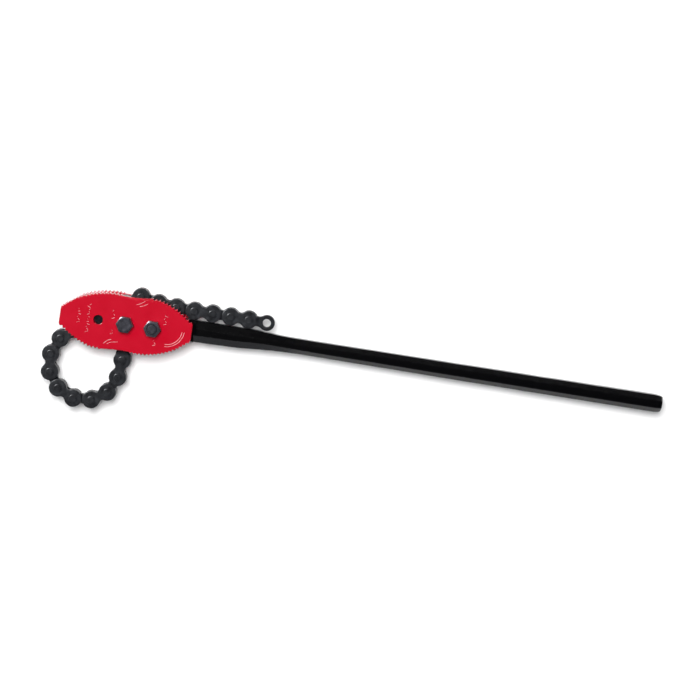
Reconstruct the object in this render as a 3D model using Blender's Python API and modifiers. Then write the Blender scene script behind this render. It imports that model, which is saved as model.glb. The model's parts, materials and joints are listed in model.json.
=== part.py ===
"""A double-ended chain pipe wrench, lying flat, with its chain closed for a 60 mm pipe.

Metres, +Z up. +X runs along the handle and Y across it. The origin is on the centre bolt's axis, in the
plane that the tool rests on. Every chain link hangs from an empty on the axis of its own hinge.
"""

import math

import bmesh
import bpy
from mathutils import Vector

MM = 0.001
GAP = 0.3 * MM  # left between pieces that touch
SHARP_ANGLE = math.radians(40)  # edges that turn more than this stay crisp

# Jaw plates
PLATE_THICKNESS = 8 * MM
JAW_GAP = 16 * MM  # between the two plates
JAW_HALF_LENGTH = 74.3 * MM
TOOTH_PITCH = 4.3 * MM
TOOTH_DEPTH = 2.0 * MM
BOLT_SPACING = 31 * MM  # spare hole, centre bolt and rear bolt
NOSE_HIGH = 8.0 * MM
NOSE_LOW = -11.4 * MM
NOSE_CORNER = 1.5 * MM  # cut off each corner of the nose
# The edge from left to right, in millimetres: a long row of teeth, a plain dip and a short row.
LONG_ROW = ((-72.6, 11.2), (-58.6, 21.4), (-45, 27.8), (-31.5, 31.4), (-18, 32.8), (-9, 32.4))
DIP = ((-8, 30.8), (2, 30.6), (14, 31.2), (24, 32.2))
SHORT_ROW = ((26, 33.0), (36, 32.2), (45, 29.4), (58.6, 22.8), (72.6, 12.9))
ROW_STEPS = 6
DIP_STEPS = 3

# Bolts, nuts and lock washers
BOLT_RADIUS = 5 * MM
BOLT_HOLE_RADIUS = BOLT_RADIUS + GAP
BOLT_SEGMENTS = 20
HEX_FLATS = 17 * MM
HEX_CORNER_RADIUS = HEX_FLATS / math.sqrt(3)
HEX_HEIGHT = 8 * MM
THREAD_SHOWING = 1.5 * MM
LOCK_WASHER_RADIUS = 8.2 * MM
LOCK_WASHER_THICKNESS = 2.2 * MM
LOCK_WASHER_SPLIT = 1.6 * MM
LOCK_WASHER_SEGMENTS = 24

# Chain
PITCH = 20.6 * MM
ANCHOR_LENGTH = 42.5 * MM
LOBE_RADIUS = 9.9 * MM
EYE_LOBE_RADIUS = 9 * MM
LOBE_SEGMENTS = 10
WAIST = 11 * MM
ANCHOR_WAIST = 13.5 * MM
WAIST_SEGMENTS = 4
INNER_THICKNESS = 6 * MM
OUTER_THICKNESS = 3 * MM
PIN_RADIUS = 3.5 * MM
PIN_HOLE_RADIUS = PIN_RADIUS + GAP
PIN_SEGMENTS = 12
PIN_HEAD_RADIUS = 4.4 * MM
PIN_HEAD_HEIGHT = 0.9 * MM
END_EYE_RADIUS = 4.7 * MM
ANCHOR_HEADING = -89  # degrees from +X, towards the loop
# The turn at each hinge after the anchor link: round the pipe, straight between the plates, over the
# handle's shoulder and along its upper edge, which the lobes almost touch.
LINK_TURNS = (-8, -19, -30, -30, -30, -30, -30, -28, -29, 0, 0, 0, -5, -44, 8, 2, 2, 0, -1, -1)

# Handle
HEAD_RADIUS = 10.5 * MM
HEAD_ENDS = (math.radians(95), math.radians(265))  # where the round head runs into the tongue's sides
HEAD_SEGMENTS = 16
SLOT_WIDTH = INNER_THICKNESS + 1 * MM
SLOT_DEPTH = 16 * MM  # beyond the centre bolt's axis
TONGUE_THICKNESS = JAW_GAP - 2 * GAP
TAPER_END = 52 * MM  # where the tongue reaches the shank's full width
TONGUE_END = 77 * MM
SHANK_LOW = -9.8 * MM
SHANK_HIGH = 14.8 * MM
# Stations along the forged shank and grip: X, lower edge, upper edge, half thickness, chamfer along Y and
# along Z, in millimetres.
HANDLE_STATIONS = (
    (76, -9.8, 14.8, 9.6, 8.3, 5.0),
    (84, -9.8, 14.8, 10.0, 8.5, 5.2),
    (125, -8.9, 14.4, 10.0, 8.5, 5.2),
    (146, -7.2, 14.4, 10.0, 8.0, 5.2),
    (158, -6.3, 13.6, 9.6, 7.4, 5.2),
    (170, -5.7, 12.7, 9.3, 6.6, 5.2),
    (185, -5.3, 12.1, 9.0, 6.0, 5.2),
    (206, -5.1, 12.1, 8.9, 5.3, 5.2),
    (370, -6.3, 12.1, 9.3, 5.4, 5.4),
    (560, -7.1, 12.4, 9.8, 5.7, 5.7),
    (608.5, -7.2, 12.6, 9.9, 5.8, 5.8),
    (611, -5.4, 10.8, 8.1, 4.8, 4.8),
)

# Heights
LOWER_PLATE_Z = HEX_HEIGHT + GAP + PLATE_THICKNESS / 2
MIDDLE_Z = LOWER_PLATE_Z + PLATE_THICKNESS / 2 + JAW_GAP / 2
UPPER_PLATE_Z = 2 * MIDDLE_Z - LOWER_PLATE_Z
LOCK_WASHER_Z = UPPER_PLATE_Z + PLATE_THICKNESS / 2 + GAP + LOCK_WASHER_THICKNESS / 2
UPPER_HEX_Z = LOCK_WASHER_Z + LOCK_WASHER_THICKNESS / 2 + GAP + HEX_HEIGHT / 2
OUTER_PLATE_Z = INNER_THICKNESS / 2 + GAP + OUTER_THICKNESS / 2
PIN_SHOULDER_Z = OUTER_PLATE_Z + OUTER_THICKNESS / 2 + GAP


def clear_scene():
    for obj in list(bpy.context.scene.objects):
        bpy.data.objects.remove(obj, do_unlink=True)


def new_collection(name):
    collection = bpy.data.collections.new(name)
    bpy.context.scene.collection.children.link(collection)
    return collection


def linear(srgb):
    """The linear value of one sRGB channel from 0 to 1."""
    return srgb / 12.92 if srgb <= 0.04045 else ((srgb + 0.055) / 1.055) ** 2.4


def new_material(name, colour, roughness, metallic):
    material = bpy.data.materials.new(name)
    material.use_nodes = True
    shader = material.node_tree.nodes["Principled BSDF"]
    channels = [linear(int(colour[i : i + 2], 16) / 255) for i in (0, 2, 4)]
    shader.inputs["Base Color"].default_value = (*channels, 1)
    shader.inputs["Roughness"].default_value = roughness
    shader.inputs["Metallic"].default_value = metallic
    return material


def place(name, data, material, collection, location=(0, 0, 0), parent=None):
    obj = bpy.data.objects.new(name, data)
    collection.objects.link(obj)
    obj.location = location
    obj.parent = parent
    if not data.materials:
        data.materials.append(material)
    return obj


def place_empty(name, collection, location, turn, parent=None):
    empty = bpy.data.objects.new(name, None)
    collection.objects.link(empty)
    empty.empty_display_size = 5 * MM
    empty.location = location
    empty.rotation_euler = (0, 0, turn)
    empty.parent = parent
    return empty


def arc(centre, radius, start, end, segments):
    """Points along an arc, both ends included; angles in radians."""
    angles = [start + (end - start) * i / segments for i in range(segments + 1)]
    return [(centre[0] + radius * math.cos(a), centre[1] + radius * math.sin(a)) for a in angles]


def circle(centre, radius, segments):
    return arc(centre, radius, 0, math.tau, segments)[:-1]


def plate_curve(name, outlines, thickness):
    """A flat plate as a filled 2D curve: the first outline is its edge and the others are holes."""
    curve = bpy.data.curves.new(name, "CURVE")
    curve.dimensions = "2D"
    curve.fill_mode = "BOTH"
    curve.extrude = thickness / 2
    for outline in outlines:
        spline = curve.splines.new("POLY")
        spline.points.add(len(outline) - 1)
        for point, (x, y) in zip(spline.points, outline):
            point.co = (x, y, 0, 1)
        spline.use_cyclic_u = True
    return curve


def mesh_from(obj):
    """Replaces a curve object by a mesh object of the same shape, with its caps welded on."""
    graph = bpy.context.evaluated_depsgraph_get()
    mesh = bpy.data.meshes.new_from_object(obj.evaluated_get(graph))
    shape = bmesh.new()
    shape.from_mesh(mesh)
    bmesh.ops.remove_doubles(shape, verts=shape.verts, dist=0.001 * MM)
    shape.to_mesh(mesh)
    shape.free()
    collection = obj.users_collection[0]
    solid = bpy.data.objects.new(obj.name, mesh)
    solid.matrix_world = obj.matrix_world
    name = obj.name
    bpy.data.objects.remove(obj)
    solid.name = name
    collection.objects.link(solid)
    return solid


def mesh_of(name, shape):
    """A mesh of the built shape, its round sides shaded smooth."""
    mesh = bpy.data.meshes.new(name)
    shape.to_mesh(mesh)
    shape.free()
    mesh.shade_smooth()
    mesh.set_sharp_from_angle(angle=SHARP_ANGLE)
    return mesh


def cylinder_mesh(name, radius, height, segments):
    shape = bmesh.new()
    bmesh.ops.create_cone(
        shape, cap_ends=True, segments=segments, radius1=radius, radius2=radius, depth=height
    )
    return mesh_of(name, shape)


def box_mesh(name, size):
    shape = bmesh.new()
    bmesh.ops.create_cube(shape, size=1)
    bmesh.ops.scale(shape, vec=size, verts=shape.verts)
    return mesh_of(name, shape)


def boolean(obj, other, operation):
    other.hide_render = True
    other.display_type = "WIRE"
    modifier = obj.modifiers.new(other.name, "BOOLEAN")
    modifier.operation = operation
    modifier.solver = "EXACT"
    modifier.object = other


def smooth_through(points, steps):
    """Points on a Catmull-Rom curve through the given ones."""
    ends = [points[0], *points, points[-1]]
    found = []
    for before, start, end, after in zip(ends, ends[1:], ends[2:], ends[3:]):
        for step in range(steps):
            t = step / steps
            weights = (
                -0.5 * t + t**2 - 0.5 * t**3,
                1 - 2.5 * t**2 + 1.5 * t**3,
                0.5 * t + 2 * t**2 - 1.5 * t**3,
                -0.5 * t**2 + 0.5 * t**3,
            )
            corners = (before, start, end, after)
            found.append(tuple(sum(w * c[i] for w, c in zip(weights, corners)) for i in (0, 1)))
    return [*found, tuple(points[-1])]


def teeth_along(points):
    """A row of V teeth cut into a stretch of edge, tips on the edge and the solid on its right hand."""
    lengths = [0.0]
    for start, end in zip(points, points[1:]):
        lengths.append(lengths[-1] + math.dist(start, end))
    count = round(lengths[-1] / TOOTH_PITCH)
    row = []
    for half in range(2 * count + 1):
        at = lengths[-1] * half / (2 * count)
        i = min(max(j for j, length in enumerate(lengths) if length <= at), len(points) - 2)
        share = (at - lengths[i]) / (lengths[i + 1] - lengths[i])
        start, end = Vector(points[i]), Vector(points[i + 1])
        along = (end - start).normalized()
        depth = TOOTH_DEPTH if half % 2 else 0
        row.append(tuple(start.lerp(end, share) + depth * Vector((along.y, -along.x))))
    return row


def half_jaw_outline():
    """The upper edge from the left end to the right end; the lower edge is the same, turned round."""
    long_row, dip, short_row = (
        [(x * MM, y * MM) for x, y in stretch] for stretch in (LONG_ROW, DIP, SHORT_ROW)
    )
    left = [
        (-JAW_HALF_LENGTH, NOSE_HIGH - NOSE_CORNER),
        (-JAW_HALF_LENGTH + NOSE_CORNER / 2, NOSE_HIGH + NOSE_CORNER / 2),
    ]
    right = [
        (JAW_HALF_LENGTH - NOSE_CORNER / 2, -NOSE_LOW + NOSE_CORNER / 2),
        (JAW_HALF_LENGTH, -NOSE_LOW - NOSE_CORNER),
    ]
    return [
        *left,
        *teeth_along(smooth_through(long_row, ROW_STEPS)),
        *smooth_through(dip, DIP_STEPS),
        *teeth_along(smooth_through(short_row, ROW_STEPS)),
        *right,
    ]


def jaw_curve():
    half = half_jaw_outline()
    outline = half + [(-x, -y) for x, y in half]
    centres = (-BOLT_SPACING, 0, BOLT_SPACING)
    holes = [circle((x, 0), BOLT_HOLE_RADIUS, BOLT_SEGMENTS) for x in centres]
    return plate_curve("jaw_plate", [outline, *holes], PLATE_THICKNESS)


def link_outline(length, waist, lobe):
    """Two round lobes joined by a hollowed waist, from the hinge at the origin to the one at +X."""
    half, narrow = length / 2, waist / 2
    hollow = (half**2 + narrow**2 - lobe**2) / (2 * (lobe - narrow))
    lean = math.atan2(narrow + hollow, half)
    first = arc((0, 0), lobe, lean, math.tau - lean, LOBE_SEGMENTS)
    lower = arc((half, -narrow - hollow), hollow, math.pi - lean, lean, WAIST_SEGMENTS)
    second = arc((length, 0), lobe, lean - math.pi, math.pi - lean, LOBE_SEGMENTS)
    upper = arc((half, narrow + hollow), hollow, -lean, lean - math.pi, WAIST_SEGMENTS)
    return first + lower[1:-1] + second + upper[1:-1]


def link_curve(name, thickness, length, waist, lobe, near_hole, far_hole):
    holes = [
        circle((0, 0), near_hole, PIN_SEGMENTS),
        circle((length, 0), far_hole, PIN_SEGMENTS),
    ]
    return plate_curve(name, [link_outline(length, waist, lobe), *holes], thickness)


def pin_mesh():
    """A headed rivet turned about Z: half its profile, revolved by a Screw modifier."""
    mesh = bpy.data.meshes.new("chain_pin")
    top = PIN_SHOULDER_Z + PIN_HEAD_HEIGHT
    profile = [
        (0, top),
        (PIN_HEAD_RADIUS - PIN_HEAD_HEIGHT / 2, top),
        (PIN_HEAD_RADIUS, top - PIN_HEAD_HEIGHT / 2),
        (PIN_HEAD_RADIUS, PIN_SHOULDER_Z),
        (PIN_RADIUS, PIN_SHOULDER_Z),
    ]
    profile += [(x, -z) for x, z in reversed(profile)]
    edges = [(i, i + 1) for i in range(len(profile) - 1)]
    mesh.from_pydata([(x, 0, z) for x, z in profile], edges, [])
    return mesh


def turn_by_screw(obj, steps):
    screw = obj.modifiers.new("turned", "SCREW")
    screw.steps = screw.render_steps = steps
    screw.use_smooth_shade = True
    screw.use_merge_vertices = True
    screw.merge_threshold = 0.01 * MM


def add_chain(collection, material):
    short, pin_holes = (PITCH, WAIST, LOBE_RADIUS), (PIN_HOLE_RADIUS, PIN_HOLE_RADIUS)
    inner = link_curve("inner_link", INNER_THICKNESS, *short, *pin_holes)
    outer = link_curve("outer_plate", OUTER_THICKNESS, *short, *pin_holes)
    long, anchor_holes = (ANCHOR_LENGTH, ANCHOR_WAIST, LOBE_RADIUS), (BOLT_HOLE_RADIUS, PIN_HOLE_RADIUS)
    anchor = link_curve("anchor", INNER_THICKNESS, *long, *anchor_holes)
    slim, eye_holes = (PITCH, WAIST, EYE_LOBE_RADIUS), (PIN_HOLE_RADIUS, END_EYE_RADIUS)
    eye = link_curve("eye_link", INNER_THICKNESS, *slim, *eye_holes)
    pin = pin_mesh()
    hinge = place_empty(
        "link_01_hinge", collection, (0, 0, MIDDLE_Z), math.radians(ANCHOR_HEADING)
    )
    place("link_01_anchor", anchor, material, collection, parent=hinge)
    length = ANCHOR_LENGTH
    last = len(LINK_TURNS) + 1
    for number, turn in enumerate(LINK_TURNS, start=2):
        name = f"link_{number:02d}"
        hinge = place_empty(
            f"{name}_hinge", collection, (length, 0, 0), math.radians(turn), parent=hinge
        )
        length = PITCH
        if number == last:
            place(f"{name}_end_eye", eye, material, collection, parent=hinge)
        elif number % 2:
            place(f"{name}_inner", inner, material, collection, parent=hinge)
        else:
            for side, height in (("upper", OUTER_PLATE_Z), ("lower", -OUTER_PLATE_Z)):
                place(f"{name}_{side}_plate", outer, material, collection, (0, 0, height), hinge)
            for end, x in (("near", 0), ("far", PITCH)):
                rivet = place(f"{name}_{end}_pin", pin, material, collection, (x, 0, 0), hinge)
                turn_by_screw(rivet, PIN_SEGMENTS)


def handle_section(station):
    """The eight corners of one station, in order round the bar."""
    x, low, high, half, chamfer, rise = (value * MM for value in station)
    side = [(high - chamfer, -half), (high, rise - half), (high, half - rise), (high - chamfer, half)]
    other = [(low + chamfer, half), (low, half - rise), (low, rise - half), (low + chamfer, -half)]
    return [(x, y, MIDDLE_Z + z) for y, z in side + other]


def handle_bar_mesh():
    """The shank and grip, lofted from station to station."""
    shape = bmesh.new()
    rings = [[shape.verts.new(p) for p in handle_section(s)] for s in HANDLE_STATIONS]
    for ring, following in zip(rings, rings[1:]):
        for i in range(len(ring)):
            j = (i + 1) % len(ring)
            shape.faces.new((ring[i], following[i], following[j], ring[j]))
    shape.faces.new(rings[0])
    shape.faces.new(rings[-1])
    bmesh.ops.recalc_face_normals(shape, faces=shape.faces)
    return mesh_of("handle", shape)


def tongue_outline():
    """The handle's flat head, from its round end about the centre bolt to the shank."""
    return [
        *arc((0, 0), HEAD_RADIUS, *HEAD_ENDS, HEAD_SEGMENTS),
        (TAPER_END, SHANK_LOW),
        (TONGUE_END, SHANK_LOW),
        (TONGUE_END, SHANK_HIGH),
        (TAPER_END, SHANK_HIGH),
    ]


def add_handle(collection, cutters, material):
    handle = place("handle", handle_bar_mesh(), material, collection)
    curve = plate_curve("handle_tongue", [tongue_outline()], TONGUE_THICKNESS)
    tongue = mesh_from(place("handle_tongue", curve, material, cutters, (0, 0, MIDDLE_Z)))
    boolean(handle, tongue, "UNION")
    for name, x in (("centre_bore", 0), ("rear_bore", BOLT_SPACING)):
        mesh = cylinder_mesh(name, BOLT_HOLE_RADIUS, 2 * JAW_GAP, BOLT_SEGMENTS)
        bore = place(name, mesh, material, cutters, (x, 0, MIDDLE_Z))
        boolean(handle, bore, "DIFFERENCE")
    slot_length = SLOT_DEPTH + 2 * HEAD_RADIUS
    slot_across = 4 * HEAD_RADIUS
    mesh = box_mesh("anchor_slot", (slot_length, slot_across, SLOT_WIDTH))
    slot = place(
        "anchor_slot", mesh, material, cutters, (SLOT_DEPTH - slot_length / 2, 0, MIDDLE_Z)
    )
    boolean(handle, slot, "DIFFERENCE")


def add_bolt(name, x, head_z, end_z, collection, cutters, material):
    """A hexagon-head bolt: head centred at head_z, shank ending at end_z."""
    head_mesh = cylinder_mesh(name, HEX_CORNER_RADIUS, HEX_HEIGHT, 6)
    head = place(name, head_mesh, material, collection, (x, 0, head_z))
    head.rotation_euler.z = math.radians(30)  # corners along X, as on the nuts
    shank_mesh = cylinder_mesh(f"{name}_shank", BOLT_RADIUS, abs(head_z - end_z), BOLT_SEGMENTS)
    shank = place(f"{name}_shank", shank_mesh, material, cutters, (x, 0, (head_z + end_z) / 2))
    boolean(head, shank, "UNION")


def nut_curve():
    hexagon = circle((0, 0), HEX_CORNER_RADIUS, 6)
    bore = circle((0, 0), BOLT_HOLE_RADIUS, BOLT_SEGMENTS)
    return plate_curve("hex_nut", [hexagon, bore], HEX_HEIGHT)


def lock_washer_curve():
    """A split ring of spring steel."""
    outer = LOCK_WASHER_SPLIT / 2 / LOCK_WASHER_RADIUS
    inner = LOCK_WASHER_SPLIT / 2 / BOLT_HOLE_RADIUS
    outline = arc((0, 0), LOCK_WASHER_RADIUS, outer, math.tau - outer, LOCK_WASHER_SEGMENTS)
    outline += arc((0, 0), BOLT_HOLE_RADIUS, math.tau - inner, inner, BOLT_SEGMENTS)
    return plate_curve("lock_washer", [outline], LOCK_WASHER_THICKNESS)


def add_fasteners(collection, cutters, material):
    top = UPPER_HEX_Z + HEX_HEIGHT / 2
    add_bolt("centre_bolt", 0, UPPER_HEX_Z, 0, collection, cutters, material)
    add_bolt(
        "rear_bolt", BOLT_SPACING, HEX_HEIGHT / 2, top + THREAD_SHOWING, collection, cutters, material
    )
    nut = nut_curve()
    place("centre_nut", nut, material, collection, (0, 0, HEX_HEIGHT / 2))
    place("rear_nut", nut, material, collection, (BOLT_SPACING, 0, UPPER_HEX_Z))
    washer = lock_washer_curve()
    place("centre_lock_washer", washer, material, collection, (0, 0, LOCK_WASHER_Z))
    place("rear_lock_washer", washer, material, collection, (BOLT_SPACING, 0, LOCK_WASHER_Z))


def main():
    clear_scene()
    tool = new_collection("chain_pipe_wrench")
    cutters = new_collection("cutters")
    red_enamel = new_material("red_enamel", "C8102E", 0.35, 0.0)
    black_enamel = new_material("black_enamel", "0D0D0F", 0.35, 0.0)
    blackened_steel = new_material("blackened_steel", "2B2B2D", 0.5, 0.7)
    plain_steel = new_material("plain_steel", "55565A", 0.45, 0.9)
    jaw = jaw_curve()
    place("jaw_plate_upper", jaw, red_enamel, tool, (0, 0, UPPER_PLATE_Z))
    place("jaw_plate_lower", jaw, red_enamel, tool, (0, 0, LOWER_PLATE_Z))
    add_handle(tool, cutters, black_enamel)
    add_fasteners(tool, cutters, plain_steel)
    add_chain(tool, blackened_steel)


main()
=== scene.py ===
"""Looks of a double-ended chain pipe wrench that lies on a pale table.

Metres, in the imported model's frame: +X runs along the handle, +Z is up, and the origin is under the centre
bolt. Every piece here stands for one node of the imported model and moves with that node's body.
"""

import json
import math

import bmesh
import bpy
from mathutils import Matrix, Vector, noise

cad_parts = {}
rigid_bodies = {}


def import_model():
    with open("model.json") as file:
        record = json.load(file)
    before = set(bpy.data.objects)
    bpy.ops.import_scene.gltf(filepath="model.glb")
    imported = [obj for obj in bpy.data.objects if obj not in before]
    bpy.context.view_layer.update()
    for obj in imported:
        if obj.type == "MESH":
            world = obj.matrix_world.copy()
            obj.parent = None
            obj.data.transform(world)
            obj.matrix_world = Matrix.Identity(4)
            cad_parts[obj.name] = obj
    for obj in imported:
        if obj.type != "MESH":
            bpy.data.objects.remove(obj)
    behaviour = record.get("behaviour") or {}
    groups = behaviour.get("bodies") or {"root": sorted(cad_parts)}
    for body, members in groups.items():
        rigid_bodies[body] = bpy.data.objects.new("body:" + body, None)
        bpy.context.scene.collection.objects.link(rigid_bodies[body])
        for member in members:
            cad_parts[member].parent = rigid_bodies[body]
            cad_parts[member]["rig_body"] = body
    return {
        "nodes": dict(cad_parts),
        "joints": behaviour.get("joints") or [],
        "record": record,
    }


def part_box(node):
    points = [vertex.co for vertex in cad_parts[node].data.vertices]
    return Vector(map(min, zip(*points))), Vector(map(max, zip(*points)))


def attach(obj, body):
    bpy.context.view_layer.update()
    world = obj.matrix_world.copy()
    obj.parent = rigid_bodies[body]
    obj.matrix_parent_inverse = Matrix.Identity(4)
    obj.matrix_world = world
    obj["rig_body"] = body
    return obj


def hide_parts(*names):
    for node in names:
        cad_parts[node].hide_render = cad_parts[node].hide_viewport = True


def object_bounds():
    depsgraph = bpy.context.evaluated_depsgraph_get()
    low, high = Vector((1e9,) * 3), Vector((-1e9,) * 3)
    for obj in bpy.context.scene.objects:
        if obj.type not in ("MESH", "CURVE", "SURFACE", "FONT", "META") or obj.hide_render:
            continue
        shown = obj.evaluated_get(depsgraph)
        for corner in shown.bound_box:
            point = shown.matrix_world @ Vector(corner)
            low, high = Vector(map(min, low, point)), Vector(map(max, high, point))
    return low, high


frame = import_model()
packed_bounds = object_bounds()

MM = 0.001
SHARP_ANGLE = math.radians(38)  # edges that turn more than this stay crisp
HOLE_RIM = 0.3 * MM  # rounding of a plain hole's edge
TABLE_Z = packed_bounds[0].z
TABLE_HALF_SIZE = 4  # metres

# Jaw plates
TOOTH_PITCH = 4.3 * MM
TOOTH_DEPTH = 2.0 * MM
CREST_FLAT = 0.4 * MM
ROOT_FLAT = 0.5 * MM
NOSE_HIGH = 8.0 * MM
NOSE_LOW = -11.4 * MM
NOSE_CORNER = 2.4 * MM  # how far from each corner of the nose its rounding starts
# The edge from left to right, in millimetres: a long row of teeth, a plain dip and a short row.
LONG_ROW = ((-72.6, 11.2), (-58.6, 21.4), (-45, 27.8), (-31.5, 31.4), (-18, 32.8), (-9, 32.4))
DIP = ((-8, 30.8), (2, 30.6), (14, 31.2), (24, 32.2))
SHORT_ROW = ((26, 33.0), (36, 32.2), (45, 29.4), (58.6, 22.8), (72.6, 12.9))
ROW_STEPS = 6
DIP_STEPS = 5
RIM_WIDTH = 1.7 * MM  # the forged rim's slope, seen from above
RIM_HEIGHT = 1.3 * MM
ROOT_RIM_SHARE = 0.12  # how much of that slope is left at a tooth's root
MARK_HEIGHT = 0.45 * MM
MARK_WIDTH = 0.7 * MM
BOLT_SPACING = 31 * MM
BOLT_HOLE_RADIUS = 5.3 * MM
BOLT_HOLE_RIM = 0.6 * MM
BOLT_HOLE_SEGMENTS = 40

# Handle
HEAD_RADIUS = 10.5 * MM
HEAD_ENDS = (math.radians(95), math.radians(265))  # where the round head runs into the tongue's sides
HEAD_SEGMENTS = 32
SLOT_WIDTH = 7 * MM
SLOT_DEPTH = 16 * MM
TAPER_END = 52 * MM  # where the tongue reaches the shank's full width
TONGUE_END = 77 * MM
TONGUE_THICKNESS = 15.4 * MM
TONGUE_RIM = 0.6 * MM
SHANK_LOW = -9.8 * MM
SHANK_HIGH = 14.8 * MM
CORNER_RADIUS = 1.6 * MM
CORNER_SEGMENTS = 4
STATION_STEP = 5 * MM
EASE_LENGTH = 5 * MM  # on either side of a bend
FORGE_WAVE = 22 * MM  # length of the bar's forged unevenness
FORGE_HEIGHT = 0.16 * MM
# Stations along the forged shank and grip: X, lower edge, upper edge, half thickness, chamfer along Y and
# along Z, in millimetres.
HANDLE_STATIONS = (
    (76, -9.8, 14.8, 9.6, 8.3, 5.0),
    (84, -9.8, 14.8, 10.0, 8.5, 5.2),
    (125, -8.9, 14.4, 10.0, 8.5, 5.2),
    (146, -7.2, 14.4, 10.0, 8.0, 5.2),
    (158, -6.3, 13.6, 9.6, 7.4, 5.2),
    (170, -5.7, 12.7, 9.3, 6.6, 5.2),
    (185, -5.3, 12.1, 9.0, 6.0, 5.2),
    (206, -5.1, 12.1, 8.9, 5.3, 5.2),
    (370, -6.3, 12.1, 9.3, 5.4, 5.4),
    (560, -7.1, 12.4, 9.8, 5.7, 5.7),
    (608.5, -7.2, 12.6, 9.9, 5.8, 5.8),
    (611, -5.4, 10.8, 8.1, 4.8, 4.8),
)

# Bolts, nuts and lock washers
BOLT_RADIUS = 5 * MM
HEX_FLATS = 17 * MM
HEX_STEPS = 72
HEX_CHAMFER = math.radians(30)
TURNED_SEGMENTS = 36
DISH_EDGE_RADIUS = 5.6 * MM
DISH_FLOOR_RADIUS = 4.6 * MM
DISH_DEPTH = 0.35 * MM
COUNTERSINK_RADIUS = 6.1 * MM
COUNTERSINK_DEPTH = 0.8 * MM
THREAD_PITCH = 1.5 * MM
THREAD_DEPTH = 0.75 * MM
THREAD_LENGTH = 11 * MM
THREAD_END_CHAMFER = 0.9 * MM
THREAD_STEPS = 8  # rings in one turn of the thread
LOCK_WASHER_RADIUS = 8.2 * MM
LOCK_WASHER_SPLIT = 1.6 * MM
LOCK_WASHER_LIFT = 0.25 * MM  # between the heights of its two ends
LOCK_WASHER_CORNER = 0.35 * MM
LOCK_WASHER_STEPS = 48

# Chain
LOBE_RADIUS = 9.9 * MM
EYE_LOBE_RADIUS = 9 * MM
LOBE_SEGMENTS = 28
WAIST = 11 * MM
ANCHOR_WAIST = 13.5 * MM
WAIST_SEGMENTS = 8
SINGLE_LINK_RIM = 0.8 * MM
ANCHOR_RIM = 0.7 * MM
SIDE_PLATE_RIM = 0.7 * MM
LINK_HOLE_SEGMENTS = 32
LINK_RIM_WEAR = 0.45
PIN_HOLE_RADIUS = 3.8 * MM
END_EYE_RADIUS = 4.7 * MM
PIN_RADIUS = 3.5 * MM
PIN_HEAD_RADIUS = 4.4 * MM
PIN_HEAD_HEIGHT = 1.1 * MM
PIN_HEAD_SEAT = 0.9 * MM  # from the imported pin's end to the underside of its head
PIN_SEGMENTS = 32

# Camera: an 85 mm lens nearly straight above, leaning to the side of the handle's upper edge
LENS = 85  # millimetres
VIEW_CENTRE = Vector((252.87, 8.33, 24.3)) * MM
VIEW_DISTANCE = 1.868
VIEW_TILT = math.radians(7.5)
VIEW_TURN = math.radians(9.02)

# Room: a pale wall on the side of the handle's lower edge, fading out between two sines of elevation
WALL_SIDE = (0.155, -0.988, 0)
WALL_TOP = (0.4, 0.62)
WALL_GLOW = 0.62
ROOM_GLOW = 0.02

MIX_A, MIX_B, MIX_RESULT = 6, 7, 2  # the colour sockets of a Mix node


# Outlines


def arc(centre, radius, start, end, segments):
    """Points along an arc, both ends included; angles in radians."""
    angles = [start + (end - start) * i / segments for i in range(segments + 1)]
    return [Vector((centre[0] + radius * math.cos(a), centre[1] + radius * math.sin(a))) for a in angles]


def circle(centre, radius, segments):
    return arc(centre, radius, 0, math.tau, segments)[:-1]


def rounded(corners, radius, segments):
    """A closed outline with each corner replaced by an arc."""
    outline = []
    for before, corner, after in zip(corners[-1:] + corners[:-1], corners, corners[1:] + corners[:1]):
        back, ahead = (before - corner).normalized(), (after - corner).normalized()
        half_angle = back.angle(ahead) / 2
        centre = corner + (back + ahead).normalized() * radius / math.sin(half_angle)
        first = corner + back * radius / math.tan(half_angle) - centre
        last = corner + ahead * radius / math.tan(half_angle) - centre
        start = math.atan2(first.y, first.x)
        turn = (math.atan2(last.y, last.x) - start + math.pi) % math.tau - math.pi
        outline += arc(centre, radius, start, start + turn, segments)
    return outline


def smooth_through(points, steps):
    """Points on a Catmull-Rom curve through the given ones."""
    ends = [points[0], *points, points[-1]]
    found = []
    for before, start, end, after in zip(ends, ends[1:], ends[2:], ends[3:]):
        for step in range(steps):
            t = step / steps
            weights = (
                -0.5 * t + t**2 - 0.5 * t**3,
                1 - 2.5 * t**2 + 1.5 * t**3,
                0.5 * t + 2 * t**2 - 1.5 * t**3,
                -0.5 * t**2 + 0.5 * t**3,
            )
            corners = (before, start, end, after)
            found.append(sum((w * c for w, c in zip(weights, corners)), Vector((0, 0))))
    return [*found, points[-1]]


def stroke(points, width):
    """The closed outline of a line of that width with round ends."""
    sides = []
    for line in (points, points[::-1]):
        for i, point in enumerate(line):
            along = (line[min(i + 1, len(line) - 1)] - line[max(i - 1, 0)]).normalized()
            sides.append(point + Vector((along.y, -along.x)) * width / 2)
        heading = math.atan2(along.y, along.x)
        sides += arc(line[-1], width / 2, heading - math.pi / 2, heading + math.pi / 2, 4)[1:-1]
    return sides


def moved_inward(outline, amounts):
    """The closed outline with each point moved to its left by its own amount, the sides kept parallel."""
    moved = []
    around = zip(outline[-1:] + outline[:-1], outline, outline[1:] + outline[:1], amounts)
    for before, point, after, amount in around:
        into, out = (point - before).normalized(), (after - point).normalized()
        normal = Vector((-into.y - out.y, into.x + out.x))
        moved.append(point + normal * amount / (1 + into.dot(out)))
    return moved


# Solids


def new_shape():
    """An empty mesh in the making, with a value at each point for how worn it is; on the jaw plates the same
    value also places the painted highlights.
    """
    shape = bmesh.new()
    shape.verts.layers.float.new("wear")
    return shape


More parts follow.
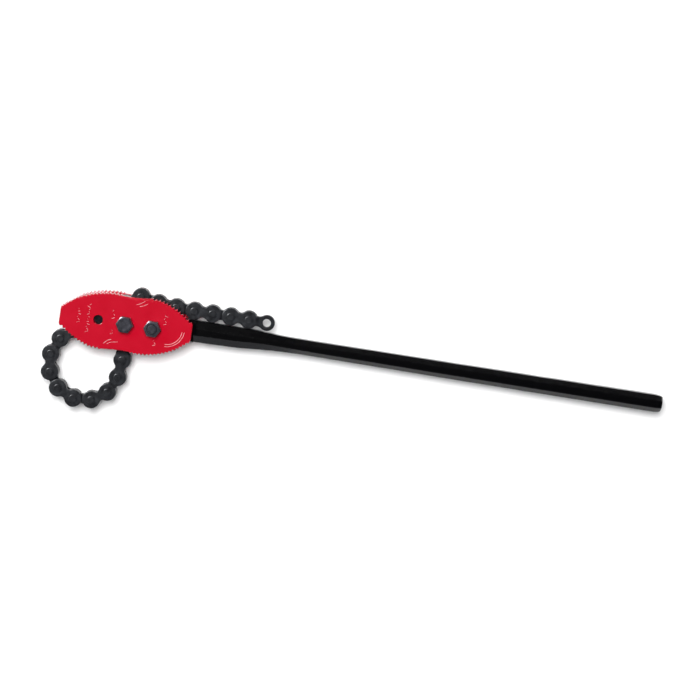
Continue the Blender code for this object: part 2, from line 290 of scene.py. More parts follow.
def add_ring(shape, points, wear):
    layer = shape.verts.layers.float["wear"]
    ring = []
    for point, worn_and_highlit in zip(points, wear):
        vertex = shape.verts.new(point)
        vertex[layer] = worn_and_highlit
        ring.append(vertex)
    return ring


def join_rings(shape, rings):
    """Faces between each ring and the next one."""
    for ring, following in zip(rings, rings[1:]):
        for i in range(len(ring)):
            j = (i + 1) % len(ring)
            shape.faces.new((ring[i], ring[j], following[j], following[i]))


def ring_edges(shape, ring):
    return [shape.edges.get((ring[i - 1], ring[i])) for i in range(len(ring))]


def rim_profile(low, high, width, drop, segments=3):
    """(inset, height, share of wear and painted highlight) up the side of a plate, both of its rims rounded.
    """
    angles = [math.pi / 2 * i / segments for i in range(segments + 1)]
    upper = [
        (width * (1 - math.cos(a)), high - drop * (1 - math.sin(a)), math.cos(a) ** 0.5)
        for a in angles
    ]
    return [(inset, low + high - height, rub_and_highlight) for inset, height, rub_and_highlight in reversed(upper)] + upper


def add_wall(shape, outline, profile, shares=None, wear=None):
    """The side of a plate along one outline: returns its first and its last ring."""
    shares = shares or [1] * len(outline)
    wear = wear or [0] * len(outline)
    rings = []
    for inset, height, rub_and_highlight in profile:
        points = moved_inward(outline, [inset * share for share in shares])
        rings.append(add_ring(shape, [(*p, height) for p in points], [w * rub_and_highlight for w in wear]))
    join_rings(shape, rings)
    return rings[0], rings[-1]


def fill(shape, rings):
    """A flat face bounded by the rings, the first one round the others."""
    edges = [edge for ring in rings for edge in ring_edges(shape, ring)]
    bmesh.ops.triangle_fill(shape, use_beauty=True, edges=edges)


def add_plate(shape, outline, holes, low, high, width, drop, hole_rim, **rim):
    """A flat plate with rounded rims and round-rimmed holes: returns the rings of its two faces."""
    walls = [add_wall(shape, outline, rim_profile(low, high, width, drop), **rim)]
    for hole in holes:
        profile = [
            (-inset, height, rub_and_highlight) for inset, height, rub_and_highlight in rim_profile(low, high, hole_rim, hole_rim)
        ]
        walls.append(add_wall(shape, hole, profile))
    return [wall[0] for wall in walls], [wall[1] for wall in walls]


def turned(shape, profile, segments):
    """A solid turned about Z from (radius, height) pairs, first to last point on the axis."""
    rings = []
    for radius, height in profile:
        points = [(*p, height) for p in circle((0, 0), radius, segments)]
        rings.append(add_ring(shape, points, [0] * segments))
    join_rings(shape, rings)
    for ring in (rings[0], rings[-1]):
        shape.faces.new(ring)


def finish_piece(node, shape, material, placing=None):
    """Makes the built shape the visible piece that stands for a node and moves with its body."""
    if placing:
        shape.transform(placing)
    bmesh.ops.recalc_face_normals(shape, faces=shape.faces)
    mesh = bpy.data.meshes.new(f"{node}_finished")
    shape.to_mesh(mesh)
    shape.free()
    return show_mesh(node, mesh, material)


def show_mesh(node, mesh, material):
    mesh.materials.clear()
    mesh.materials.append(material)
    mesh.shade_smooth()
    mesh.set_sharp_from_angle(angle=SHARP_ANGLE)
    piece = bpy.data.objects.new(f"{node}_finished", mesh)
    bpy.context.scene.collection.objects.link(piece)
    piece.modifiers.new("flat faces stay flat", "WEIGHTED_NORMAL").keep_sharp = True
    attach(piece, frame["nodes"][node]["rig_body"])
    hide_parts(node)
    return piece


# Materials


def colour(srgb):
    """The linear RGBA of an sRGB hex colour."""
    channels = [int(srgb[i : i + 2], 16) / 255 for i in (0, 2, 4)]
    return (*(c / 12.92 if c <= 0.04045 else ((c + 0.055) / 1.055) ** 2.4 for c in channels), 1)


def add_node(tree, kind, inputs=None, **settings):
    """Adds a node; each of its inputs is a value or a socket to link from."""
    node = tree.nodes.new(f"ShaderNode{kind}")
    for name, value in settings.items():
        setattr(node, name, value)
    for name, value in (inputs or {}).items():
        if isinstance(value, bpy.types.NodeSocket):
            tree.links.new(value, node.inputs[name])
        else:
            node.inputs[name].default_value = value
    return node


def start_material(name, slot):
    """A new material for a slot of the record: its node tree and the object's own coordinates, in metres."""
    material = bpy.data.materials.new(name)
    material["slot"] = slot
    material.use_nodes = True
    tree = material.node_tree
    tree.nodes.clear()
    return material, tree, add_node(tree, "TexCoord").outputs["Object"]


def finish_material(tree, **inputs):
    named = {name.replace("_", " "): value for name, value in inputs.items()}
    shader = add_node(tree, "BsdfPrincipled", named)
    add_node(tree, "OutputMaterial", {"Surface": shader.outputs["BSDF"]})


def red_enamel():
    """Stove enamel dipped over a forged plate: glossy and a little wavy; its tooth crests and raised lines
    are pale pink, partly enamel rubbed thin and partly a painted highlight.
    """
    material, tree, here = start_material("red_stove_enamel", "red_enamel")
    cloud = add_node(tree, "TexNoise", {"Vector": here, "Scale": 1 / (18 * MM), "Detail": 3})
    red = add_node(
        tree,
        "Mix",
        {"Factor": cloud.outputs["Fac"], MIX_A: colour("A8091E"), MIX_B: colour("B60B26")},
        data_type="RGBA",
    )
    # Chips, and the flecks of painted highlight that follow them along the crests, are 0.5 to 1.5 mm long.
    chips_and_glints = add_node(tree, "TexNoise", {"Vector": here, "Scale": 1 / (1.2 * MM), "Detail": 4})
    worn_and_highlit = add_node(tree, "Attribute", attribute_name="wear")
    reach = add_node(
        tree, "Math", {0: worn_and_highlit.outputs["Fac"], 1: chips_and_glints.outputs["Fac"]}, operation="ADD"
    )
    bare_and_highlight = add_node(
        tree, "MapRange", {"Value": reach.outputs[0], "From Min": 1.0, "From Max": 1.22}
    )
    # The mask paints the crests and raised lines pale pink: partly enamel rubbed thin, partly a painted
    # highlight.
    skin = add_node(
        tree,
        "Mix",
        {"Factor": bare_and_highlight.outputs["Result"], MIX_A: red.outputs[MIX_RESULT], MIX_B: colour("E6B2B8")},
        data_type="RGBA",
    )
    gloss = add_node(
        tree, "MapRange", {"Value": cloud.outputs["Fac"], "To Min": 0.18, "To Max": 0.28}
    )
    # Orange peel, 1.6 mm from crest to crest.
    peel = add_node(tree, "TexNoise", {"Vector": here, "Scale": 1 / (1.6 * MM), "Detail": 1})
    wavy = add_node(
        tree, "Bump", {"Height": peel.outputs["Fac"], "Strength": 0.25, "Distance": 0.06 * MM}
    )
    finish_material(
        tree,
        Base_Color=skin.outputs[MIX_RESULT],
        Roughness=gloss.outputs["Result"],
        Normal=wavy.outputs["Normal"],
        IOR=1.5,
    )
    return material


def black_enamel():
    """Black asphalt enamel brushed over forging scale: glossy, lumpy, thin along the corners."""
    material, tree, here = start_material("black_asphalt_enamel", "black_enamel")
    scale = add_node(
        tree, "TexNoise", {"Vector": here, "Scale": 1 / (5 * MM), "Detail": 5, "Roughness": 0.6}
    )
    chips_and_glints = add_node(tree, "TexNoise", {"Vector": here, "Scale": 1 / (2 * MM), "Detail": 5})
    worn_and_highlit = add_node(tree, "Attribute", attribute_name="wear")
    reach = add_node(
        tree, "Math", {0: worn_and_highlit.outputs["Fac"], 1: chips_and_glints.outputs["Fac"]}, operation="ADD"
    )
    bare_and_highlight = add_node(
        tree, "MapRange", {"Value": reach.outputs[0], "From Min": 1.52, "From Max": 1.62}
    )
    skin = add_node(
        tree,
        "Mix",
        {"Factor": bare_and_highlight.outputs["Result"], MIX_A: colour("040405"), MIX_B: colour("4A4B4E")},
        data_type="RGBA",
    )
    gloss = add_node(
        tree, "MapRange", {"Value": scale.outputs["Fac"], "To Min": 0.16, "To Max": 0.27}
    )
    lumps = add_node(
        tree, "Bump", {"Height": scale.outputs["Fac"], "Strength": 0.35, "Distance": 0.15 * MM}
    )
    finish_material(
        tree,
        Base_Color=skin.outputs[MIX_RESULT],
        Roughness=gloss.outputs["Result"],
        Normal=lumps.outputs["Normal"],
        IOR=1.5,
    )
    return material


def steel(name, slot, dark, light, worn_tone, roughness, metallic, grain):
    """Bare or blackened steel: mottled at the given grain, lighter where the rims are rubbed."""
    material, tree, here = start_material(name, slot)
    mottle = add_node(
        tree, "TexNoise", {"Vector": here, "Scale": 1 / grain, "Detail": 6, "Roughness": 0.65}
    )
    spread = add_node(
        tree, "MapRange", {"Value": mottle.outputs["Fac"], "From Min": 0.3, "From Max": 0.7}
    )
    tone = add_node(
        tree,
        "Mix",
        {"Factor": spread.outputs["Result"], MIX_A: colour(dark), MIX_B: colour(light)},
        data_type="RGBA",
    )
    rub_and_highlight = add_node(tree, "TexNoise", {"Vector": here, "Scale": 1 / (3 * MM), "Detail": 4})
    worn_and_highlit = add_node(tree, "Attribute", attribute_name="wear")
    reach = add_node(tree, "Math", {0: worn_and_highlit.outputs["Fac"], 1: rub_and_highlight.outputs["Fac"]}, operation="ADD")
    rubbed = add_node(
        tree, "MapRange", {"Value": reach.outputs[0], "From Min": 1.0, "From Max": 1.5}
    )
    skin = add_node(
        tree,
        "Mix",
        {"Factor": rubbed.outputs["Result"], MIX_A: tone.outputs[MIX_RESULT], MIX_B: colour(worn_tone)},
        data_type="RGBA",
    )
    gloss = add_node(
        tree,
        "MapRange",
        {"Value": mottle.outputs["Fac"], "To Min": roughness - 0.12, "To Max": roughness + 0.12},
    )
    pits = add_node(
        tree, "Bump", {"Height": mottle.outputs["Fac"], "Strength": 0.4, "Distance": 0.1 * MM}
    )
    finish_material(
        tree,
        Base_Color=skin.outputs[MIX_RESULT],
        Roughness=gloss.outputs["Result"],
        Normal=pits.outputs["Normal"],
        Metallic=metallic,
    )
    return material


# Jaw plates


def teeth_along(points):
    """A row of teeth cut into a stretch of edge: (point, is it on a crest) pairs."""
    lengths = [0.0]
    for start, end in zip(points, points[1:]):
        lengths.append(lengths[-1] + (end - start).length)
    count = round(lengths[-1] / TOOTH_PITCH)
    row = []
    for half in range(2 * count + 1):
        crest = half % 2 == 0
        flat = CREST_FLAT if crest else ROOT_FLAT
        for shift in (-flat / 2, flat / 2):
            at = min(max(lengths[-1] * half / (2 * count) + shift, 0), lengths[-1])
            i = min(max(j for j, length in enumerate(lengths) if length <= at), len(points) - 2)
            start, end = points[i], points[i + 1]
            along = (end - start).normalized()
            share = (at - lengths[i]) / (lengths[i + 1] - lengths[i])
            depth = 0 if crest else TOOTH_DEPTH
            row.append((start.lerp(end, share) + depth * Vector((along.y, -along.x)), crest))
    return row[1:-1]


def nose_corner(x, y, tooth, order):
    """A rounded corner of the nose at (x, y), between the nose's flat end and the row's last tooth."""
    corner = Vector((x, y))
    start, end = corner - Vector((0, NOSE_CORNER)), corner.lerp(tooth, 0.6)
    curve = [start.lerp(corner, t).lerp(corner.lerp(end, t), t) for t in (0, 0.25, 0.5, 0.75, 1)]
    return curve[::order]


def jaw_outline():
    """The jaw's edge, anticlockwise: its points, each one's share of the rim's slope, and its wear and
    painted highlight.
    """
    half_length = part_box("jaw_plate_upper")[1].x
    rows = [[Vector(p) * MM for p in stretch] for stretch in (LONG_ROW, DIP, SHORT_ROW)]
    plain, root = (1, 0), (ROOT_RIM_SHARE, 0.2)
    crests = (1, 0.95), (1, 0.6)  # the long rows bite the pipe, so their tips are rubbed most; their pale tips are also painted highlights
    half = [(p, *plain) for p in nose_corner(-half_length, NOSE_HIGH, rows[0][0], 1)]
    long_row, short_row = (teeth_along(smooth_through(rows[i], ROW_STEPS)) for i in (0, 2))
    half += [(p, *(crests[0] if tip else root)) for p, tip in long_row]
    half += [(p, *plain) for p in smooth_through(rows[1], DIP_STEPS)]
    half += [(p, *(crests[1] if tip else root)) for p, tip in short_row]
    half += [(p, *plain) for p in nose_corner(half_length, -NOSE_LOW, rows[2][-1], -1)]
    whole = half + [(-p, share, wear) for p, share, wear in half]
    points, shares, wear = zip(*reversed(whole))
    return list(points), list(shares), list(wear)


def jaw_lines():
    """Plain raised lines in the forging: a double arc near one end and paired strokes at two edges."""
    strokes = (
        ((-21.5, -25.3), (-17.6, -21.4), (-13.6, -19.6)),
        ((-17.5, -25.2), (-13.4, -22.6), (-6.0, -21.4)),
        ((9.6, 23.4), (14.4, 25.6), (18.2, 28.6)),
        ((13.2, 21.8), (18.0, 23.8), (21.6, 26.2)),
    )
    centre, start, end = (46 * MM, 2 * MM), math.radians(-4), math.radians(-88)
    lines = [arc(centre, radius * MM, start, end, 14) for radius in (20.4, 18.0)]
    return lines + [[Vector(point) * MM for point in line] for line in strokes]


def jaw_ticks():
    """Columns of short raised ticks, each a little askew, as a worn forging die leaves them."""
    columns = (
        (-53, -5.6, 3.0, 6),
        (-42, -15.0, 2.8, 12),
        (-14.4, -13.0, 3.6, 2),
        (-14.4, 4.6, 3.9, 3),
        (34.5, -18.8, 2.6, 3),
        (43.6, 6.4, 3.0, 4),
    )
    ticks = []
    for x, lowest, spacing, count in columns:
        for i in range(count):
            middle = Vector((x + 0.9 * math.sin(2.4 * i), lowest + spacing * i))
            half = Vector((0.9 + 0.6 * math.cos(1.9 * i), 0.7 * math.cos(2.8 * i)))
            ticks.append([(middle - half) * MM, (middle + half) * MM])
    return ticks


def jaw_plate(node, outer_side, material):
    """A forged jaw plate with its marks on the outer face: the upper one if outer_side is 1."""
    low, high = (corner.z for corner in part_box(node))
    outline, shares, wear = jaw_outline()
    centres = (-BOLT_SPACING, 0, BOLT_SPACING)
    holes = [circle((x, 0), BOLT_HOLE_RADIUS, BOLT_HOLE_SEGMENTS) for x in centres]
    rims = (RIM_WIDTH, RIM_HEIGHT, BOLT_HOLE_RIM)
    shape = new_shape()
    faces = add_plate(shape, outline, holes, low, high, *rims, shares=shares, wear=wear)
    outer, inner = (faces[1], faces[0]) if outer_side > 0 else (faces[0], faces[1])
    face_z = high if outer_side > 0 else low
    # Up the side of a raised line: its slope, its shoulder and its top, painted pale as a highlight and as
    # rubbed enamel.
    profile = [
        (0, face_z, 0),
        (0.22 * MARK_WIDTH, face_z + outer_side * 0.75 * MARK_HEIGHT, 0.85),
        (0.38 * MARK_WIDTH, face_z + outer_side * MARK_HEIGHT, 1),
    ]
    # The tops of the lines and ticks get pale pink, partly rubbed enamel and partly a painted highlight.
    for line, rub_and_highlight in [(line, 0.9) for line in jaw_lines()] + [(tick, 0.7) for tick in jaw_ticks()]:
        outline = stroke(line, MARK_WIDTH)
        base, top = add_wall(shape, outline, profile, wear=[rub_and_highlight] * len(outline))
        fill(shape, [top])
        outer.append(base)
    fill(shape, outer)
    fill(shape, inner)
    finish_piece(node, shape, material)


# Handle


def station_at(x):
    """The handle's measures at x, in metres: straight between stations, eased over each bend."""

    def straight(at):
        stations = [[value * MM for value in station] for station in HANDLE_STATIONS]
        at = min(max(at, stations[0][0]), stations[-1][0])
        for start, end in zip(stations, stations[1:]):
            if at <= end[0]:
                share = (at - start[0]) / (end[0] - start[0])
                return [a + (b - a) * share for a, b in zip(start[1:], end[1:])]

    return [sum(v) / 3 for v in zip(straight(x - EASE_LENGTH), straight(x), straight(x + EASE_LENGTH))]


def handle_ring(x, measures, middle_z):
    """A rounded octagon across the bar at x: its points and their wear."""
    low, high, half, chamfer, rise = measures
    corners = [
        (high - chamfer, -half),
        (high, rise - half),
        (high, half - rise),
        (high - chamfer, half),
        (low + chamfer, half),
        (low, half - rise),
        (low, rise - half),
        (low + chamfer, -half),
    ]
    points, wear = [], []
    outline = rounded([Vector(c) for c in corners], CORNER_RADIUS, CORNER_SEGMENTS)
    for i, corner in enumerate(outline):
        point = Vector((x, corner.x, middle_z + corner.y))
        lump = noise.noise(point / FORGE_WAVE) + 0.4 * noise.noise(point / (0.4 * FORGE_WAVE))
        outward = Vector((0, corner.x - (low + high) / 2, corner.y)).normalized()
        points.append(point + outward * lump * FORGE_HEIGHT)
        # Worn along the middle of each rounded corner, and not at all on the flats.
        wear.append(1 - abs(2 * (i % (CORNER_SEGMENTS + 1)) / CORNER_SEGMENTS - 1))
    return points, wear


def handle_bar(middle_z):
    """The shank and grip with a chamfered end, lofted from ring to ring."""
    shape = new_shape()
    start, end = (HANDLE_STATIONS[i][0] * MM for i in (0, -1))
    shoulder = HANDLE_STATIONS[-2][0] * MM
    count = round((shoulder - start) / STATION_STEP)
    places = [start + (shoulder - start) * i / count for i in range(count + 1)]
    rings = [add_ring(shape, *handle_ring(x, station_at(x), middle_z)) for x in places]
    tip = [value * MM for value in HANDLE_STATIONS[-1][1:]]
    body = station_at(shoulder)
    halfway = (0.35, shoulder + 1.2 * MM)  # rounds the end's chamfer
    for share, x in (halfway, (1.0, end)):
        measures = [a + (b - a) * share for a, b in zip(body, tip)]
        rings.append(add_ring(shape, *handle_ring(x, measures, middle_z)))
    join_rings(shape, rings)
    shape.faces.new(rings[0])
    shape.faces.new(rings[-1])
    bmesh.ops.recalc_face_normals(shape, faces=shape.faces)
    return shape


def helper(name, shape):
    """A shape used only in a Boolean."""
    bmesh.ops.recalc_face_normals(shape, faces=shape.faces)
    mesh = bpy.data.meshes.new(name)
    shape.to_mesh(mesh)
    shape.free()
    obj = bpy.data.objects.new(name, mesh)
    bpy.context.scene.collection.objects.link(obj)
    return obj


def combined(base, steps):
    """The mesh of base after the Boolean steps, each an (object, operation) pair; the helpers are removed."""
    for other, operation in steps:
        modifier = base.modifiers.new(other.name, "BOOLEAN")
        modifier.operation = operation
        modifier.solver = "EXACT"
        modifier.object = other
    graph = bpy.context.evaluated_depsgraph_get()
    mesh = bpy.data.meshes.new_from_object(base.evaluated_get(graph))
    for obj in (base, *(other for other, _ in steps)):
        bpy.data.objects.remove(obj)
    return mesh


def handle(material):
    """Head, shank and grip in one forging, its head slotted for the anchor link."""
    low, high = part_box("handle")
    middle_z = (low.z + high.z) / 2
    half = TONGUE_THICKNESS / 2
    outline = [
        *arc((0, 0), HEAD_RADIUS, *HEAD_ENDS, HEAD_SEGMENTS),
        Vector((TAPER_END, SHANK_LOW)),
        Vector((TONGUE_END, SHANK_LOW)),
        Vector((TONGUE_END, SHANK_HIGH)),
        Vector((TAPER_END, SHANK_HIGH)),
    ]
    holes = [circle((x, 0), BOLT_HOLE_RADIUS, BOLT_HOLE_SEGMENTS) for x in (0, BOLT_SPACING)]
    rims = (TONGUE_RIM, TONGUE_RIM, HOLE_RIM)
    tongue = new_shape()
    for face in add_plate(tongue, outline, holes, middle_z - half, middle_z + half, *rims):
        fill(tongue, face)
    slot = bmesh.new()
    length = SLOT_DEPTH + 2 * HEAD_RADIUS
    bmesh.ops.create_cube(slot, size=1)
    bmesh.ops.scale(slot, vec=(length, 4 * HEAD_RADIUS, SLOT_WIDTH), verts=slot.verts)
    bmesh.ops.translate(slot, vec=(SLOT_DEPTH - length / 2, 0, middle_z), verts=slot.verts)
    steps = [(helper("tongue", tongue), "UNION"), (helper("anchor_slot", slot), "DIFFERENCE")]
    mesh = combined(helper("bar", handle_bar(middle_z)), steps)
    show_mesh("handle", mesh, material)


# Bolts, nuts and lock washers


def hex_radius(angle):
    """Distance from the axis to the side of the hexagon at that angle."""
    return HEX_FLATS / 2 / math.cos(angle % (math.pi / 3) - math.pi / 6)


def hex_rings(shape, low, high, chamfer_low, chamfer_high):
    """The side of a hexagon with corners turned off at 30 degrees, as rings from low to high."""
    face_radius = 0.96 * HEX_FLATS / 2
    angles = [math.tau * i / HEX_STEPS for i in range(HEX_STEPS)]
    rows = []
    for height, chamfered, inward in ((low, chamfer_low, 1), (high, chamfer_high, -1)):
        drop = [(hex_radius(a) - face_radius) * math.tan(HEX_CHAMFER) for a in angles]
        side = [(hex_radius(a), height + inward * (d if chamfered else 0)) for a, d in zip(angles, drop)]
        rim = [(face_radius if chamfered else hex_radius(a) - 0.2 * MM, height) for a in angles]
        rows += [rim, side] if inward > 0 else [side, rim]
    rings = []
    for row, worn_and_highlit in zip(rows, (0.4, 0.7, 0.7, 0.4)):
        points = [(r * math.cos(a), r * math.sin(a), z) for a, (r, z) in zip(angles, row)]
        corner = [worn_and_highlit if i % (HEX_STEPS // 6) == 0 else 0.2 for i in range(HEX_STEPS)]
        rings.append(add_ring(shape, points, corner))
    return rings


def thread_radius(angle, height, end):
    """Distance from the axis to the thread's flank, with the last turn chamfered off."""
    phase = (height / THREAD_PITCH - angle / math.tau) % 1
    flank = THREAD_DEPTH * max(0, 1 - abs(2 * phase - 1) * 1.15)
    chamfered = BOLT_RADIUS - max(0, THREAD_END_CHAMFER - abs(end - height))
    return min(BOLT_RADIUS - flank, chamfered)


def bolt_shank(shape, start, end):
    """The shank from the head outward: plain, then threaded, as rings of points."""
    toward = 1 if end > start else -1
    thread_start = end - toward * THREAD_LENGTH
    heights = [start, thread_start]
    steps = round(THREAD_LENGTH / THREAD_PITCH * THREAD_STEPS)
    heights += [thread_start + toward * THREAD_LENGTH * (i + 1) / steps for i in range(steps)]
    rings = []
    for i, height in enumerate(heights):
        points = []
        for j in range(TURNED_SEGMENTS):
            angle = math.tau * j / TURNED_SEGMENTS
            radius = BOLT_RADIUS if i < 2 else thread_radius(angle, height, end)
            points.append((radius * math.cos(angle), radius * math.sin(angle), height))
        rings.append(add_ring(shape, points, [0.3] * TURNED_SEGMENTS))
    join_rings(shape, rings)
    return rings


def bolt(node, head_up, material):
    """A hexagon-head bolt: a forged head with turned corners, and its threaded shank."""
    low, high = (corner.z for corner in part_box(node))
    centre = (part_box(node)[0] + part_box(node)[1]) / 2
    # Each head lies level with the other bolt's nut.
    head_low, head_high = (corner.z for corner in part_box("rear_nut" if head_up else "centre_nut"))
    shape = new_shape()
    rings = hex_rings(shape, head_low, head_high, not head_up, head_up)
    join_rings(shape, rings)
    start, end = (head_low, low) if head_up else (head_high, high)
    shank = bolt_shank(shape, start, end)
    shape.faces.new(shank[-1])
    seat, face = (rings[0], rings[-1]) if head_up else (rings[-1], rings[0])
    fill(shape, [seat, shank[0]])
    # The forging die leaves a shallow round dish in the head.
    edge_z = head_high if head_up else head_low
    floor_z = edge_z - DISH_DEPTH if head_up else edge_z + DISH_DEPTH
    rim, floor = (
        add_ring(shape, [(*p, z) for p in circle((0, 0), radius, TURNED_SEGMENTS)], [worn_and_highlit] * TURNED_SEGMENTS)
        for radius, z, worn_and_highlit in ((DISH_EDGE_RADIUS, edge_z, 0.3), (DISH_FLOOR_RADIUS, floor_z, 0))
    )
    join_rings(shape, [rim, floor])
    fill(shape, [face, rim])
    shape.faces.new(floor)
    finish_piece(node, shape, material, Matrix.Translation((centre.x, 0, 0)))


def nut(node, material):
    """A hexagon nut, corners turned off both faces and the hole countersunk."""
    low, high = (corner.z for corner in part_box(node))
    centre = (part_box(node)[0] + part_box(node)[1]) / 2
    shape = new_shape()
    outer = hex_rings(shape, low, high, True, True)
    join_rings(shape, outer)
    bore = []
    for radius, height in (
        (COUNTERSINK_RADIUS, low),
        (BOLT_HOLE_RADIUS, low + COUNTERSINK_DEPTH),
        (BOLT_HOLE_RADIUS, high - COUNTERSINK_DEPTH),
        (COUNTERSINK_RADIUS, high),
    ):
        points = [(*p, height) for p in circle((0, 0), radius, TURNED_SEGMENTS)]
        bore.append(add_ring(shape, points, [0] * TURNED_SEGMENTS))
    join_rings(shape, bore)
    fill(shape, [outer[0], bore[0]])
    fill(shape, [outer[-1], bore[-1]])
    finish_piece(node, shape, material, Matrix.Translation((centre.x, 0, 0)))


def lock_washer(node, material):
    """A split spring washer of square wire, its ends a little apart in height."""
    low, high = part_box(node)
    centre = (low + high) / 2
    split = LOCK_WASHER_SPLIT / 2 / LOCK_WASHER_RADIUS
    wire = [
        Vector((BOLT_HOLE_RADIUS, low.z)),
        Vector((LOCK_WASHER_RADIUS, low.z)),
        Vector((LOCK_WASHER_RADIUS, high.z)),
        Vector((BOLT_HOLE_RADIUS, high.z)),
    ]
    section = rounded(wire, LOCK_WASHER_CORNER, 2)
    shape = new_shape()
    rings = []
    for i in range(LOCK_WASHER_STEPS + 1):
        share = i / LOCK_WASHER_STEPS
        angle = split + (math.tau - 2 * split) * share
        rise = LOCK_WASHER_LIFT * (share - 0.5)
        points = [(p.x * math.cos(angle), p.x * math.sin(angle), p.y + rise) for p in section]
        rings.append(add_ring(shape, points, [0.3] * len(section)))
    join_rings(shape, rings)
    shape.faces.new(rings[0])
    shape.faces.new(rings[-1])
    finish_piece(node, shape, material, Matrix.Translation((centre.x, 0, 0)))


# Chain


def link_outline(length, waist, lobe):
    """Two round lobes joined by a hollowed waist, from the hinge at the origin to the one at +X."""
    half, narrow = length / 2, waist / 2
    hollow = (half**2 + narrow**2 - lobe**2) / (2 * (lobe - narrow))
    lean = math.atan2(narrow + hollow, half)
    first = arc((0, 0), lobe, lean, math.tau - lean, LOBE_SEGMENTS)
    lower = arc((half, -narrow - hollow), hollow, math.pi - lean, lean, WAIST_SEGMENTS)
    second = arc((length, 0), lobe, lean - math.pi, math.pi - lean, LOBE_SEGMENTS)
    upper = arc((half, narrow + hollow), hollow, -lean, lean - math.pi, WAIST_SEGMENTS)
    return first + lower[1:-1] + second + upper[1:-1]


def link_plate(node, placing, length, waist, lobe, holes, rim, material):
    """One stamped link or side plate, its rims tumbled round."""
    low, high = (corner.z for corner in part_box(node))
    outline = link_outline(length, waist, lobe)
    wells = [circle((x, 0), radius, LINK_HOLE_SEGMENTS) for x, radius in zip((0, length), holes)]
    shape = new_shape()
    rubbed = [LINK_RIM_WEAR] * len(outline)
    for face in add_plate(shape, outline, wells, low, high, rim, rim, HOLE_RIM, wear=rubbed):
        fill(shape, face)
    finish_piece(node, shape, material, placing)


def pin(node, placing, x, material):
    """A chain pin with both ends riveted over into flat, round-edged discs."""
    low, high = (corner.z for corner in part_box(node))
    middle_z, half = (low + high) / 2, (high - low) / 2
    shoulder = half - PIN_HEAD_SEAT
    top = shoulder + PIN_HEAD_HEIGHT
    profile = [
        (3.5 * MM, top),
        (3.9 * MM, top - 0.08 * MM),
        (4.25 * MM, top - 0.3 * MM),
        (PIN_HEAD_RADIUS, top - 0.6 * MM),
        (PIN_HEAD_RADIUS, shoulder),
        (PIN_RADIUS, shoulder),
    ]
    profile = [(r, middle_z + z) for r, z in profile] + [(r, middle_z - z) for r, z in reversed(profile)]
    shape = new_shape()
    turned(shape, profile, PIN_SEGMENTS)
    finish_piece(node, shape, material, placing @ Matrix.Translation((x, 0, 0)))


def chain(material):
    for joint in frame["joints"]:
        nodes = frame["record"]["behaviour"]["bodies"][joint["child"]]
        hinge = Vector(joint["pos_m"])
        low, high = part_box(nodes[0])
        along = (low + high) / 2 - hinge
        length = 2 * along.xy.length
        heading = math.atan2(along.y, along.x)
        placing = Matrix.Translation((hinge.x, hinge.y, 0)) @ Matrix.Rotation(heading, 4, "Z")
        for node in nodes:
            if node.endswith("_pin"):
                pin(node, placing, length if "far" in node else 0, material)
            elif node.endswith("_anchor"):
                holes = (BOLT_HOLE_RADIUS, PIN_HOLE_RADIUS)
                shape = (length, ANCHOR_WAIST, LOBE_RADIUS)
                link_plate(node, placing, *shape, holes, ANCHOR_RIM, material)
            elif node.endswith("_end_eye"):
                holes = (PIN_HOLE_RADIUS, END_EYE_RADIUS)
                shape = (length, WAIST, EYE_LOBE_RADIUS)
                link_plate(node, placing, *shape, holes, SINGLE_LINK_RIM, material)
            else:
                holes = (PIN_HOLE_RADIUS, PIN_HOLE_RADIUS)
                rim = SIDE_PLATE_RIM if node.endswith("_plate") else SINGLE_LINK_RIM
                link_plate(node, placing, length, WAIST, LOBE_RADIUS, holes, rim, material)


# Stage, lights and camera


def camera():
    up = Vector((-math.sin(VIEW_TURN), math.cos(VIEW_TURN), 0))
    right = Vector((math.cos(VIEW_TURN), math.sin(VIEW_TURN), 0))
    back = Vector((0, 0, math.cos(VIEW_TILT))) + up * math.sin(VIEW_TILT)
    data = bpy.data.cameras.new("camera")
    data.lens = LENS
    data.clip_end = 20
    obj = bpy.data.objects.new("camera", data)
    turned_to = Matrix((right, back.cross(right), back)).transposed().to_4x4()
    obj.matrix_world = Matrix.Translation(VIEW_CENTRE + back * VIEW_DISTANCE) @ turned_to
    bpy.context.scene.collection.objects.link(obj)
    bpy.context.scene.camera = obj


def soft_box(name, azimuth, elevation, distance, size, power):
    """A square soft light aimed at the middle of the tool; angles in degrees, azimuth from +X."""
    a, e = math.radians(azimuth), math.radians(elevation)
    away = Vector((math.cos(a) * math.cos(e), math.sin(a) * math.cos(e), math.sin(e)))
    data = bpy.data.lights.new(name, "AREA")
    data.shape = "SQUARE"
    data.size = size
    data.energy = power
    obj = bpy.data.objects.new(name, data)
    obj.location = VIEW_CENTRE + away * distance
    obj.rotation_euler = away.to_track_quat("Z", "Y").to_euler()
    obj.visible_camera = False
    bpy.context.scene.collection.objects.link(obj)
    return obj


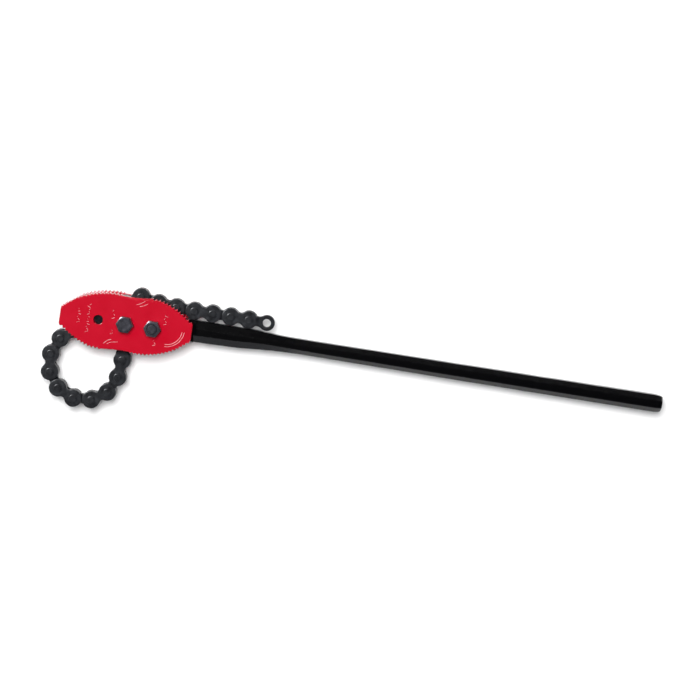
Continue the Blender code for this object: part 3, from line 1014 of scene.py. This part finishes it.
def studio():
    """A dark room with a pale wall beyond the handle's lower edge, a broad soft light overhead that
    leaves no glare on the flat faces, and a small one that draws the bright lines along the rims."""
    soft_box("overhead_light", 110, 74, 2.4, 1.0, 86).visible_glossy = False
    soft_box("rim_light", 150, 37, 2.2, 0.45, 150).visible_diffuse = False
    world = bpy.data.worlds.new("dark_room")
    bpy.context.scene.world = world
    world.use_nodes = True
    tree = world.node_tree
    tree.nodes.clear()
    way = add_node(tree, "TexCoord").outputs["Generated"]
    aside = add_node(
        tree, "VectorMath", {0: way, 1: WALL_SIDE}, operation="DOT_PRODUCT"
    )
    height = add_node(tree, "SeparateXYZ", {"Vector": way})
    facing = add_node(
        tree,
        "MapRange",
        {"Value": aside.outputs["Value"], "From Min": 0.2, "From Max": 0.6},
        interpolation_type="SMOOTHSTEP",
    )
    below_top = add_node(
        tree,
        "MapRange",
        {"Value": height.outputs["Z"], "From Min": WALL_TOP[1], "From Max": WALL_TOP[0]},
        interpolation_type="SMOOTHSTEP",
    )
    wall = add_node(
        tree, "Math", {0: facing.outputs[0], 1: below_top.outputs[0]}, operation="MULTIPLY"
    )
    strength = add_node(
        tree, "MapRange", {"Value": wall.outputs[0], "To Min": ROOM_GLOW, "To Max": WALL_GLOW}
    )
    seen = add_node(tree, "Background", {"Color": colour("F4F4F4"), "Strength": 1.0})
    felt = add_node(tree, "Background", {"Color": colour("F6F8FF"), "Strength": strength.outputs[0]})
    direct = add_node(tree, "LightPath")
    mixed = add_node(
        tree,
        "MixShader",
        {0: direct.outputs["Is Camera Ray"], 1: felt.outputs[0], 2: seen.outputs[0]},
    )
    add_node(tree, "OutputWorld", {"Surface": mixed.outputs[0]})
    bpy.context.scene.view_settings.view_transform = "Standard"


def table():
    """White laminate, matt."""
    material, tree, here = start_material("white_laminate", "")
    grain = add_node(tree, "TexNoise", {"Vector": here, "Scale": 1 / (60 * MM), "Detail": 2})
    tone = add_node(
        tree,
        "Mix",
        {"Factor": grain.outputs["Fac"], MIX_A: colour("F2F2F2"), MIX_B: colour("F6F6F6")},
        data_type="RGBA",
    )
    finish_material(tree, Base_Color=tone.outputs[MIX_RESULT], Roughness=0.9)
    shape = bmesh.new()
    bmesh.ops.create_grid(shape, x_segments=1, y_segments=1, size=TABLE_HALF_SIZE)
    mesh = bpy.data.meshes.new("table")
    shape.to_mesh(mesh)
    shape.free()
    mesh.materials.append(material)
    obj = bpy.data.objects.new("table", mesh)
    obj.location = (VIEW_CENTRE.x, VIEW_CENTRE.y, TABLE_Z)
    bpy.context.scene.collection.objects.link(obj)


def main():
    camera()
    studio()
    table()
    enamel = red_enamel()
    jaw_plate("jaw_plate_upper", 1, enamel)
    jaw_plate("jaw_plate_lower", -1, enamel)
    handle(black_enamel())
    blackened = steel(
        "oil_blackened_steel", "blackened_steel", "121316", "2F3135", "7C7D80", 0.38, 0.35, 6 * MM
    )
    chain(blackened)
    plain = steel("plain_bolt_steel", "plain_steel", "2A2A30", "4C4C54", "9A9BA0", 0.34, 0.5, 4 * MM)
    bolt("centre_bolt", True, plain)
    bolt("rear_bolt", False, plain)
    for node in ("centre_nut", "rear_nut"):
        nut(node, plain)
    for node in ("centre_lock_washer", "rear_lock_washer"):
        lock_washer(node, plain)


main()
